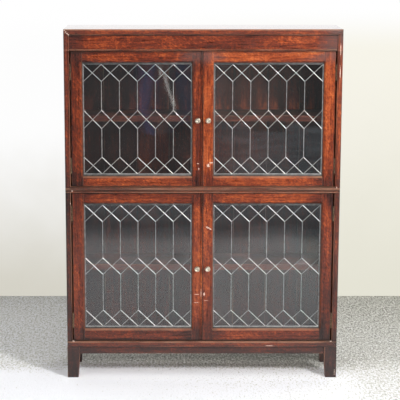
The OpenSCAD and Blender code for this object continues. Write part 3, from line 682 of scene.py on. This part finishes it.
    # painted light: the sideways faces in the gaps beside the doors take a lighter orange, so the gaps look
    # less dark
    gap_side_faces = fade(tree, calc(tree, "ABSOLUTE", normal["X"]), 0.6, 0.9)
    gap_side_faces = times(tree, gap_side_faces, fade(tree, parts["Y"], front_y + 0.05, front_y + 0.035))
    gap_side_faces = times(tree, gap_side_faces, fade(tree, calc(tree, "ABSOLUTE", parts["X"]), 0.436, 0.432))
    colour = blend(tree, times(tree, gap_side_faces, 0.6), colour, PAINTED_GAP_LIGHT)
    bloom_and_floor_reflection = bloom
    if front:
        # a painted reflection of the pale floor makes the wood milkier low down, over the wax's own bloom,
        # and the right-hand ends of the topmost boards are made paler
        bloom_and_floor_reflection = plus(tree, fade(tree, height, 0.62, 0.40, bloom, bloom + 0.05),
                     fade(tree, height, 0.20, 0.05, 0.0, 0.04))
        paler_top_ends = times(tree, fade(tree, height, 1.025, 1.062, 0.0, 0.20), end)
        paler_top_ends = times(tree, paler_top_ends, fade(tree, parts["X"], -0.35, 0.05, 0.15, 1.0))
        bloom_and_floor_reflection = plus(tree, bloom_and_floor_reflection, paler_top_ends)
    colour = blend(tree, bloom_and_floor_reflection, colour, BLOOM_AND_REFLECTION)
    if front:
        # painted highlight on the bead crests, with their wear
        bead_wear_and_highlight = times(tree, on_lines(tree, position, BEAD_WEAR_AND_HIGHLIGHTS), fade(tree, patches, 0.36, 0.60, 0.15, 1.0))
        colour = blend(tree, times(tree, bead_wear_and_highlight, 0.55), colour, WORN_WOOD)
        # painted shade, with some dirt, in the quirks and beside the doors
        quirk_shade_and_dirt = times(tree, on_lines(tree, position, QUIRK_SHADE_AND_DIRT), 0.85)
        colour = blend(tree, quirk_shade_and_dirt, colour, SHADE_AND_DIRT_COLOUR)
        ragged = noise(tree, position, 260.0, 3.0)
        knocked = worn_places(tree, position, ragged)
        colour = blend(tree, times(tree, knocked, 0.85), colour, KNOCKED_WOOD)
    sheen = fade(tree, streaks, 0.25, 0.75, roughness - 0.08, roughness + 0.10)
    grain = minus(tree, times(tree, streaks, 0.5), pore)
    fill(shader, {"Base Color": colour, "Roughness": sheen, "Specular IOR Level": 0.24, "Coat Weight": coat,
                  "Coat Roughness": 0.10 if coat < 1 else 0.05, "Coat IOR": 1.5 if coat < 1 else 2.5,
                  "Normal": bumps(tree, grain, relief, 0.0002)})
    return material


shelf_tops = [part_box("upper_shelf")[1].z]
door_oak = oak("door_oak", 0.20, 1.00, 0.32, front=True, wear=0.15, dust_and_painted_top_light=0.42)
case_oak = oak("case_oak", 0.12, 0.92, 0.34, front=True, wear=0.50, dust_and_painted_top_light=0.50, bloom=0.045)
top_oak = oak("top_oak", 0.10, 0.60, 0.09, coat=1.0, relief=0.08, bloom=0.2)
# inside, the colour on faces that look up is near black: a painted shade
inner_oak = oak("inner_oak", 0.10, 0.45, 0.55, dust_and_painted_top_light=0.9, dust_and_painted_top_colour=(0.030, 0.016, 0.012), bloom=0.05)
back_oak = oak("back_oak", 0.10, 0.60, 0.55, bloom=0.06, lighter_band_above=shelf_tops)

# %% [markdown]
# ## Finished boards
# Every board of the case and of the doors is finished in the same way. The list gives each one's
# place in the colour range and the width of its worn arris.

# %% Finish the boards
def finish_board(node, body, material, tone, arris, spread=0.04, shape=None):
    """Replaces a model part by its finished copy, which shape may work on first."""
    piece = merged_copy(node, node + "_finished")
    if shape:
        shape(piece)
    round_arrises(piece, arris * MM)
    lay_grain(piece, tone, spread)
    piece.data.materials.append(material)
    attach(piece, body)
    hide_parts(node)
    return piece


def close_gaps(piece):
    """Widens boards that stand side by side until they touch."""
    mesh = piece.data
    boards = separate_boards(mesh)
    places = [[mesh.vertices[i].co.x for i in board] for board in boards]
    edges = sorted((min(xs), max(xs)) for xs in places)
    gap = edges[1][0] - edges[0][1]
    for board in boards:
        middle = sum(mesh.vertices[i].co.x for i in board) / len(board)
        for i in board:
            mesh.vertices[i].co.x += gap / 2 if mesh.vertices[i].co.x > middle else -gap / 2


CASE_BOARDS = [
    # part, slot, finish, tone, arris in mm
    ("upper_left_side", "oak_carcase", case_oak, 0.40, 0.45),
    ("upper_right_side", "oak_carcase", case_oak, 0.46, 0.45),
    ("lower_left_side", "oak_carcase", case_oak, 0.36, 0.7),
    ("lower_right_side", "oak_carcase", case_oak, 0.42, 0.7),
    ("upper_top", "oak_carcase", top_oak, 0.58, 0.9),
    ("upper_bottom", "oak_carcase", inner_oak, 0.42, 0.4),
    ("lower_top", "oak_carcase", inner_oak, 0.42, 0.4),
    ("lower_bottom", "oak_carcase", inner_oak, 0.42, 0.4),
    ("upper_frieze", "oak_carcase", door_oak, (0.51, 0.335, 0.52), 0.5),
    ("upper_edge_moulding", "oak_moulding", case_oak,
     [0.46, (0.275, 0.365, 0.545), (0.51, 0.505, 0.435), (0.475, 0.47, 0.495)], 0.4),
    ("lower_edge_moulding", "oak_moulding", case_oak,
     [(0.44, 0.41, 0.335), (0.33, 0.235, 0.135), (0.315, 0.33, 0.36), 0.47], 0.4),
    # the back boards' low tones stand partly for their own colour and partly for painted shade inside the
    # case
    ("upper_back", "oak_back", back_oak, [0.16, 0.20, 0.34, 0.24, 0.30, 0.34, 0.22, 0.16], 0.5),
    ("lower_back", "oak_back", back_oak, 0.22, 0.5),
    ("upper_shelf", "oak_inside", inner_oak, 0.50, 0.8),
    ("lower_shelf", "oak_inside", inner_oak, 0.50, 0.8),
    ("shelf_cleats", "oak_inside", inner_oak, 0.40, 0.8),
    ("upper_door_stop", "oak_inside", inner_oak, 0.40, 0.6),
    ("lower_door_stop", "oak_inside", inner_oak, 0.40, 0.6),
    ("front_legs", "oak_base", case_oak, [(0.31, 0.36, 0.41), (0.27, 0.315, 0.345)], 2.2),
    ("rear_legs", "oak_base", case_oak, 0.28, 2.2),
    ("front_apron", "oak_base", case_oak, (0.33, 0.235, 0.275), 0.7),
    ("rear_apron", "oak_base", case_oak, 0.30, 0.7),
    ("side_aprons", "oak_base", case_oak, 0.30, 0.7),
]
for part, slot, material, tone, arris in CASE_BOARDS:
    shape = close_gaps if "back" in part else None
    finish_board(part, "carcase", material, tone, arris, shape=shape)

# %% [markdown]
# ## The doors' frames
# A door frame's inner edges carry a chamfer, which catches the light below the glass
# and stays dark above it, and a paler colour painted on faces that look up adds a painted
# highlight there. The edge is first cut where the rails meet the stiles, so that the
# chamfer can end there, and then bevelled in edit mode.

# %% Chamfer the inner edges of the frames
CHAMFER = 6 * MM
FRAME_ARRIS, BEAD_ARRIS = 0.6, 0.4         # in mm
DOORS = {
    # door: tones of the hinge stile and the meeting stile from foot to head, and of the rails
    "upper_left_door": ((0.235, 0.35, 0.32), (0.465, 0.43, 0.505),
                        [(0.495, 0.45, 0.585), (0.48, 0.405, 0.57)]),
    "upper_right_door": ((0.42, 0.61, 0.65), (0.605, 0.605, 0.72),
                        [(0.61, 0.58, 0.33), (0.69, 0.655, 0.725)]),
    "lower_left_door": ((0.405, 0.42, 0.55), (0.39, 0.63, 0.505),
                        [(0.36, 0.31, 0.35), (0.43, 0.45, 0.385)]),
    "lower_right_door": ((0.25, 0.31, 0.44), (0.465, 0.49, 0.52),
                        [(0.51, 0.41, 0.38), (0.50, 0.58, 0.60)]),
}

REBATE = 7 * MM              # the glazing beads fill a rebate this wide around the opening


def sight_opening(door):
    """Where the opening in a door's frame starts and ends, in x and in z."""
    low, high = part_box(door + "_beads")
    return low.x + REBATE, high.x - REBATE, low.z + REBATE, high.z - REBATE


def near(a, b):
    return abs(a - b) < 0.1 * MM


def select_edges(piece, is_wanted):
    """Selects the edges whose two ends both pass a test."""
    pick(piece)
    bpy.ops.object.mode_set(mode="EDIT")
    bpy.ops.mesh.select_mode(type="EDGE")
    bpy.ops.mesh.select_all(action="DESELECT")
    bpy.ops.object.mode_set(mode="OBJECT")
    points = piece.data.vertices
    for edge in piece.data.edges:
        edge.select = all(is_wanted(points[i].co) for i in edge.vertices)
    bpy.ops.object.mode_set(mode="EDIT")


def chamfer_frame(door, node):
    """The shaping of one stile or pair of rails: a stopped chamfer round the opening."""
    x0, x1, z0, z1 = sight_opening(door)
    face_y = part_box(door + "_rails")[0].y
    is_stile = node.endswith("stile")

    def shape(piece):
        if is_stile:
            pick(piece)
            bpy.ops.object.mode_set(mode="EDIT")
            for z in (z0, z1):
                bpy.ops.mesh.select_all(action="SELECT")
                bpy.ops.mesh.bisect(plane_co=(0, 0, z), plane_no=(0, 0, 1))
            bpy.ops.object.mode_set(mode="OBJECT")

        def on_edge(co):
            if not near(co.y, face_y) or not x0 - 0.1 * MM < co.x < x1 + 0.1 * MM:
                return False
            if not z0 - 0.1 * MM < co.z < z1 + 0.1 * MM:
                return False
            return near(co.x, x0) or near(co.x, x1) if is_stile else near(co.z, z0) or near(co.z, z1)

        select_edges(piece, on_edge)
        bpy.ops.mesh.bevel(offset=CHAMFER, segments=1, affect="EDGES")
        bpy.ops.object.mode_set(mode="OBJECT")

    return shape


for door, (hinge_tone, meeting_tone, rail_tone) in DOORS.items():
    for part, tone in (("hinge_stile", hinge_tone), ("meeting_stile", meeting_tone), ("rails", rail_tone)):
        node = door + "_" + part
        piece = finish_board(node, door, door_oak, tone, FRAME_ARRIS,
                             shape=chamfer_frame(door, node))
    finish_board(door + "_beads", door, inner_oak, 0.40, BEAD_ARRIS)
    print(door, "frame finished, last part", len(piece.data.polygons), "faces")

# %% [markdown]
# ## The leads
# A came is a lead strip with a groove down each side for the glass, so its section is an H with
# rounded faces. One short length is modelled and copied along every line of the lattice. Where
# strips meet, a flat drop of solder joins them, on both faces.

# %% The lattice's lines
CAME_WIDTH = 3.1 * MM
HEART_WIDTH = 1.6 * MM
PANE_CLEAR = 1.1 * MM       # from a came's centre line to the edge of its pane
COLUMNS = 6
END_BAND = 55 * MM
MIDDLE_BAND = {"upper": 59 * MM, "lower": 55 * MM}


def lattice(door):
    """The lines of a door's lattice and the points where they meet, in x and z."""
    low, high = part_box(door + "_panes")
    x0, x1 = low.x - PANE_CLEAR, high.x + PANE_CLEAR
    z0, z1 = low.z - PANE_CLEAR, high.z + PANE_CLEAR
    pitch = (x1 - x0) / COLUMNS
    posts = [x0 + k * pitch for k in range(COLUMNS + 1)]
    middle, height = (z0 + z1) / 2, MIDDLE_BAND[door.split("_")[0]]
    bands = [(z0, z0 + END_BAND), (middle - height / 2, middle + height / 2), (z1 - END_BAND, z1)]
    through, butted, upright, joints = [], [], [], []
    for low_z, high_z in bands:
        for left, right in zip(posts, posts[1:]):
            centre = ((left + right) / 2, (low_z + high_z) / 2)
            through.append(((left, high_z), (right, low_z)))
            butted += [((left, low_z), centre), (centre, (right, high_z))]
            joints.append(centre)
        for x in posts:
            joints += [(x, low_z), (x, high_z)]
    for below, above in zip(bands, bands[1:]):
        upright += [((x, below[1]), (x, above[0])) for x in posts[1:-1]]
    border = [((x0, z0), (x0, z1)), ((x1, z0), (x1, z1))]
    head, foot = [((x0, z1), (x1, z1))], [((x0, z0), (x1, z0))]
    return through, butted, upright, border, head, foot, joints


# %% Patterns, and copies of them
def pattern(add_shape, **settings):
    """A new simple shape with its place and turn in its mesh."""
    deselect()
    add_shape(**settings)
    bpy.ops.object.transform_apply(location=True, rotation=True, scale=True)
    return bpy.context.object


# a came one metre long from the origin along X, and a drop of solder one metre across
came_pattern = pattern(bpy.ops.mesh.primitive_cylinder_add, vertices=14, radius=0.5, depth=1,
                       location=(0.5, 0, 0), rotation=(0, math.radians(90), 0))
drop_pattern = pattern(bpy.ops.mesh.primitive_uv_sphere_add, segments=10, ring_count=6, radius=0.5,
                       location=(0, 0, 0))


def strip(start, end, y, width, thickness):
    """A copy of the came from start to end, given in x and z, with its own mesh."""
    copy = copy_of(came_pattern.data, "came")
    run = Vector((end[0] - start[0], 0, end[1] - start[1]))
    turn = Matrix.Rotation(-math.atan2(run.z, run.x), 4, "Y")
    size = Matrix.Diagonal((run.length, thickness, width, 1))
    copy.data.transform(Matrix.Translation((start[0], y, start[1])) @ turn @ size)
    return copy


def drop_at(point, y, width, thickness):
    """A copy of the drop of solder at a point given in x and z."""
    copy = copy_of(drop_pattern.data, "solder")
    size = Matrix.Diagonal((width, thickness, width, 1))
    copy.data.transform(Matrix.Translation((point[0], y, point[1])) @ size)
    return copy


def join(name, copies):
    """Joins copies into one piece."""
    deselect()
    for copy in copies:
        copy.select_set(True)
    bpy.context.view_layer.objects.active = copies[0]
    bpy.ops.object.join()
    piece = bpy.context.object
    piece.name = name
    bpy.ops.object.shade_smooth_by_angle(angle=math.radians(60))
    return piece


# %% Lead finish
def lead_finish(name, bright, dull, roughness, metallic):
    """Lead that is rubbed bright, with a dull bloom in patches."""
    material, tree, shader, position = new_material(name)
    bloom = noise(tree, position, 70.0, 4.0)
    grit = noise(tree, position, 900.0, 2.0)
    fill(shader, {"Base Color": colour_ramp(tree, bloom, [(0.3, dull), (0.65, bright)]),
                  "Metallic": metallic, "Normal": bumps(tree, grit, 0.10, 0.0002),
                  "Roughness": fade(tree, bloom, 0.3, 0.7, roughness + 0.12, roughness)})
    return material


# lit and shaded copies of one lead: the through and foot leads, which lie across the lamp's glint, take the
# brighter copy as a painted highlight, and the others the dimmer one; the lower doors' bright leads are
# brighter and their dim ones dimmer than the upper doors'
lead = {
    "upper": lead_finish("lead_upper", (0.66, 0.64, 0.62), (0.46, 0.445, 0.43), 0.34, 0.95),
    "lower": lead_finish("lead_lower", (0.84, 0.82, 0.80), (0.58, 0.565, 0.55), 0.35, 0.95),
}
dim_painted_lead = {
    "upper": lead_finish("plain_lead_upper", (0.56, 0.54, 0.52), (0.34, 0.33, 0.32), 0.36, 0.92),
    "lower": lead_finish("plain_lead_lower", (0.47, 0.455, 0.44), (0.27, 0.265, 0.26), 0.38, 0.90),
}
# dark lead and putty, also a painted shade along the frame's edge
dull_lead = lead_finish("dull_lead", (0.11, 0.105, 0.10), (0.05, 0.048, 0.046), 0.55, 0.3)

# %% Flat border leads
def flat_lead(low_x, high_x, low_z, high_z, y, thickness):
    """A flat strip of lead across the given box, with softened edges."""
    deselect()
    bpy.ops.mesh.primitive_cube_add(size=1, location=(0, 0, 0))
    bar = bpy.context.object
    size = Matrix.Diagonal((high_x - low_x, thickness, high_z - low_z, 1))
    bar.data.transform(Matrix.Translation(((low_x + high_x) / 2, y, (low_z + high_z) / 2)) @ size)
    edit()
    bpy.ops.mesh.bevel(offset=0.25 * MM, segments=1, affect="EDGES")
    bpy.ops.object.mode_set(mode="OBJECT")
    return bar


def border_leads(door, y):
    """Four flat strips from under the wood to just past the border's rounded leads."""
    low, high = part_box(door + "_cames")
    panes_low, panes_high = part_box(door + "_panes")
    x0, x1, z0, z1 = panes_low.x, panes_high.x, panes_low.z, panes_high.z
    sides = [(low.x, x0, low.z, high.z), (x1, high.x, low.z, high.z),
             (x0, x1, low.z, z0), (x0, x1, z1, high.z)]
    return [flat_lead(*side, y, 0.8 * MM) for side in sides]


# %% Build the leads of each door
FLANGE = 1.1 * MM            # the leads' flat flange, from the glass out
CROWN = 2.4 * MM             # twice the height of a rounded face


def strips(lines, y, wide, high):
    """A strip along each line, with its width and crown as shares of the full ones."""
    return [strip(start, end, y, CAME_WIDTH * wide, CROWN * high) for start, end in lines]


for door in DOORS:
    through, butted, upright, border, head, foot, joints = lattice(door)
    low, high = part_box(door + "_cames")
    flats = border_leads(door, low.y + 0.7 * MM) + border_leads(door, high.y - 0.7 * MM)
    # painted shadow: the head's rounded leads lie in the shadow of the rail's lip, so they take the dark
    # lead too
    for y in (low.y + FLANGE, high.y - FLANGE):
        flats += strips(head, y, 0.84, 0.80)
    border_piece = join(door + "_border_leads", flats)
    border_piece.data.materials.append(dull_lead)
    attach(border_piece, door)
    long_strips, short_strips = [], []
    for y in (low.y + FLANGE, high.y - FLANGE):
        long_strips += strips(through, y, 0.80, 0.95) + strips(foot, y, 0.90, 0.80)
        short_strips += strips(butted + upright, y, 0.74, 0.80) + strips(border, y, 0.84, 0.80)
        short_strips += [drop_at(point, y, CAME_WIDTH * 1.05, CROWN * 0.98) for point in joints]
    heart = (low.y + high.y) / 2, HEART_WIDTH, high.y - low.y - 2 * FLANGE
    short_strips += [strip(start, end, *heart) for start, end in through + butted + upright]
    # the long leads take the painted bright copy, the short ones the painted dim one
    kinds = (("_short_leads", short_strips, dim_painted_lead), ("_leads", long_strips, lead))
    for ending, copies, finish in kinds:
        piece = join(door + ending, copies)
        piece.data.materials.append(finish[door.split("_")[0]])
        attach(piece, door)
    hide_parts(door + "_cames")
    print(door, "leads", len(short_strips) + len(copies), "strips and drops")
bpy.data.objects.remove(came_pattern)
bpy.data.objects.remove(drop_pattern)

# %% [markdown]
# ## The glass
# The panes are old drawn glass. Each lies at a slightly different tilt in its leads and is a
# little wavy, so that each mirrors another piece of the room. Light has to pass through to the
# shelves, so shadow rays pass the glass, but at about half strength: a painted shade that keeps
# the inside of the case dim.

# %% Glass finish
def glass_finish():
    """Old sheet glass with soft waves and ripples."""
    material, tree, shader, position = new_material("old_glass")
    waves = noise(tree, position, 8.0, 0.0)
    ripples = noise(tree, position, 34.0, 1.0)
    height = plus(tree, waves, times(tree, ripples, 0.05))
    fill(shader, {"Base Color": (0.90, 0.94, 0.93, 1), "Roughness": 0.02, "Transmission Weight": 1.0,
                  "IOR": 1.55, "Normal": bumps(tree, height, 0.15, 0.002)})
    # painted shade: shadow rays pass at about half strength, which keeps the shelves dim
    clear = add(tree, "BsdfTransparent", {"Color": (0.50, 0.53, 0.52, 1)})
    shadow = add(tree, "LightPath").outputs["Is Shadow Ray"]
    mix = mix_shaders(tree, shadow, shader, clear)
    cover(tree, mix)
    return material


glass = glass_finish()


def tilt_panes(piece, most_degrees):
    """Turns each pane a little about its own middle."""
    luck = random.Random(piece.name)
    mesh = piece.data
    for pane in separate_boards(mesh):
        middle = sum((mesh.vertices[i].co for i in pane), Vector()) / len(pane)
        turn = Matrix.Rotation(math.radians(luck.uniform(-most_degrees, most_degrees)), 4, "X")
        turn = turn @ Matrix.Rotation(math.radians(luck.uniform(-most_degrees, most_degrees)), 4, "Z")
        for i in pane:
            mesh.vertices[i].co = middle + turn @ (mesh.vertices[i].co - middle)


for door in DOORS:
    piece = merged_copy(door + "_panes", door + "_glass")
    tilt_panes(piece, 0.22)
    piece.data.materials.append(glass)
    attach(piece, door)
    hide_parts(door + "_panes")
    print(door, "glass", len(piece.data.polygons), "faces")

# %% [markdown]
# ## Brass and steel
# The knobs and hinges are brass that has dulled in patches, and the hinges' brass is darker
# still, partly tarnish and partly a painted shade for the gaps they sit in. They are the model's
# own turned and bored parts with a worn finish.

# %% Metal finishes
def metal_finish(name, bright, dull, roughness):
    """Metal with a tarnish that gathers in patches."""
    material, tree, shader, position = new_material(name)
    tarnish = noise(tree, position, 260.0, 4.0)
    fill(shader, {"Base Color": colour_ramp(tree, tarnish, [(0.35, dull), (0.62, bright)]),
                  "Metallic": 1.0, "Roughness": fade(tree, tarnish, 0.3, 0.7, roughness + 0.15, roughness)})
    return material


brass = metal_finish("worn_brass", (0.84, 0.77, 0.64), (0.45, 0.36, 0.25), 0.26)
# partly tarnish, partly a painted shade: dark, so that only a thin highlight shows in the gap
hinge_brass = metal_finish("hinge_brass", (0.30, 0.22, 0.14), (0.10, 0.07, 0.045), 0.30)
steel = metal_finish("screw_steel", (0.50, 0.50, 0.49), (0.22, 0.20, 0.18), 0.40)


def finish_metal(node, material):
    """Gives a model part its metal."""
    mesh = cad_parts[node].data
    mesh.materials.clear()
    mesh.materials.append(material)


finish_metal("carcase_hinge_leaves", hinge_brass)
finish_metal("hinge_pins", hinge_brass)
finish_metal("base_screws", steel)
finish_metal("section_dowels", inner_oak)
for door in DOORS:
    finish_metal(door + "_leaves", hinge_brass)
    finish_metal(door + "_knob", brass)

# %% [markdown]
# ## Screws in the hinge leaves
# Each hinge leaf is held by three slotted brass screws whose heads stand a hair proud of it. One
# head is turned, its rim is eased and its slot is sawn, and it is then copied for every leaf. A
# joiner leaves the slots at all angles.

# %% Hinge screws
LEAF = 1.3 * MM              # thickness of a leaf
HINGE_GAP = 5 * MM           # between the door's edge and the case
HINGE_LENGTH = 50 * MM


def slotted_head():
    """A screw's head measured in millimetres. It looks along X from just behind the origin."""
    head = pattern(bpy.ops.mesh.primitive_cylinder_add, vertices=20, radius=2.3, depth=0.9,
                   location=(-0.15, 0, 0), rotation=(0, math.radians(90), 0))
    round_arrises(head, 0.14, 1)
    bpy.ops.mesh.primitive_cube_add(size=1, location=(0, 0, 0))
    saw = bpy.context.object
    saw.data.transform(Matrix.Translation((0.3, 0, 0)) @ Matrix.Diagonal((0.5, 6.0, 0.55, 1)))
    pick(head)
    apply(head, "BOOLEAN", operation="DIFFERENCE", object=saw)
    bpy.data.objects.remove(saw)
    return head


head_pattern = slotted_head()


def leaf_screws(door, on_door):
    """The screws of a door's two hinges, in the leaves on the door or in those on the case."""
    low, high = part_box(door + "_leaves")
    inward = 1 if "left" in door else -1
    door_edge = high.x if inward > 0 else low.x
    x = door_edge - inward * (LEAF if on_door else HINGE_GAP - LEAF)
    looks_right = (inward > 0) != on_door
    turned = Matrix.Identity(4) if looks_right else Matrix.Rotation(math.pi, 4, "Z")
    luck = random.Random(door + str(on_door))
    copies = []
    for bottom in (low.z, high.z - HINGE_LENGTH):
        for up, from_back in ((8, 8.5), (25, 5.5), (42, 8.5)):
            copy = copy_of(head_pattern.data, "screw")
            place = Matrix.Translation((x, high.y - from_back * MM, bottom + up * MM))
            slot_turn = Matrix.Rotation(luck.uniform(0, math.pi), 4, "X")
            copy.data.transform(place @ turned @ slot_turn @ Matrix.Scale(MM, 4))
            copies.append(copy)
    return copies


on_case = []
for door in DOORS:
    on_case += leaf_screws(door, False)
    piece = join(door + "_leaf_screws", leaf_screws(door, True))
    piece.data.materials.append(hinge_brass)
    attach(piece, door)
piece = join("carcase_leaf_screws", on_case)
piece.data.materials.append(hinge_brass)
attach(piece, "carcase")
bpy.data.objects.remove(head_pattern)
print("hinge screws", 2 * len(on_case), "and", len(piece.data.polygons), "faces on the case")
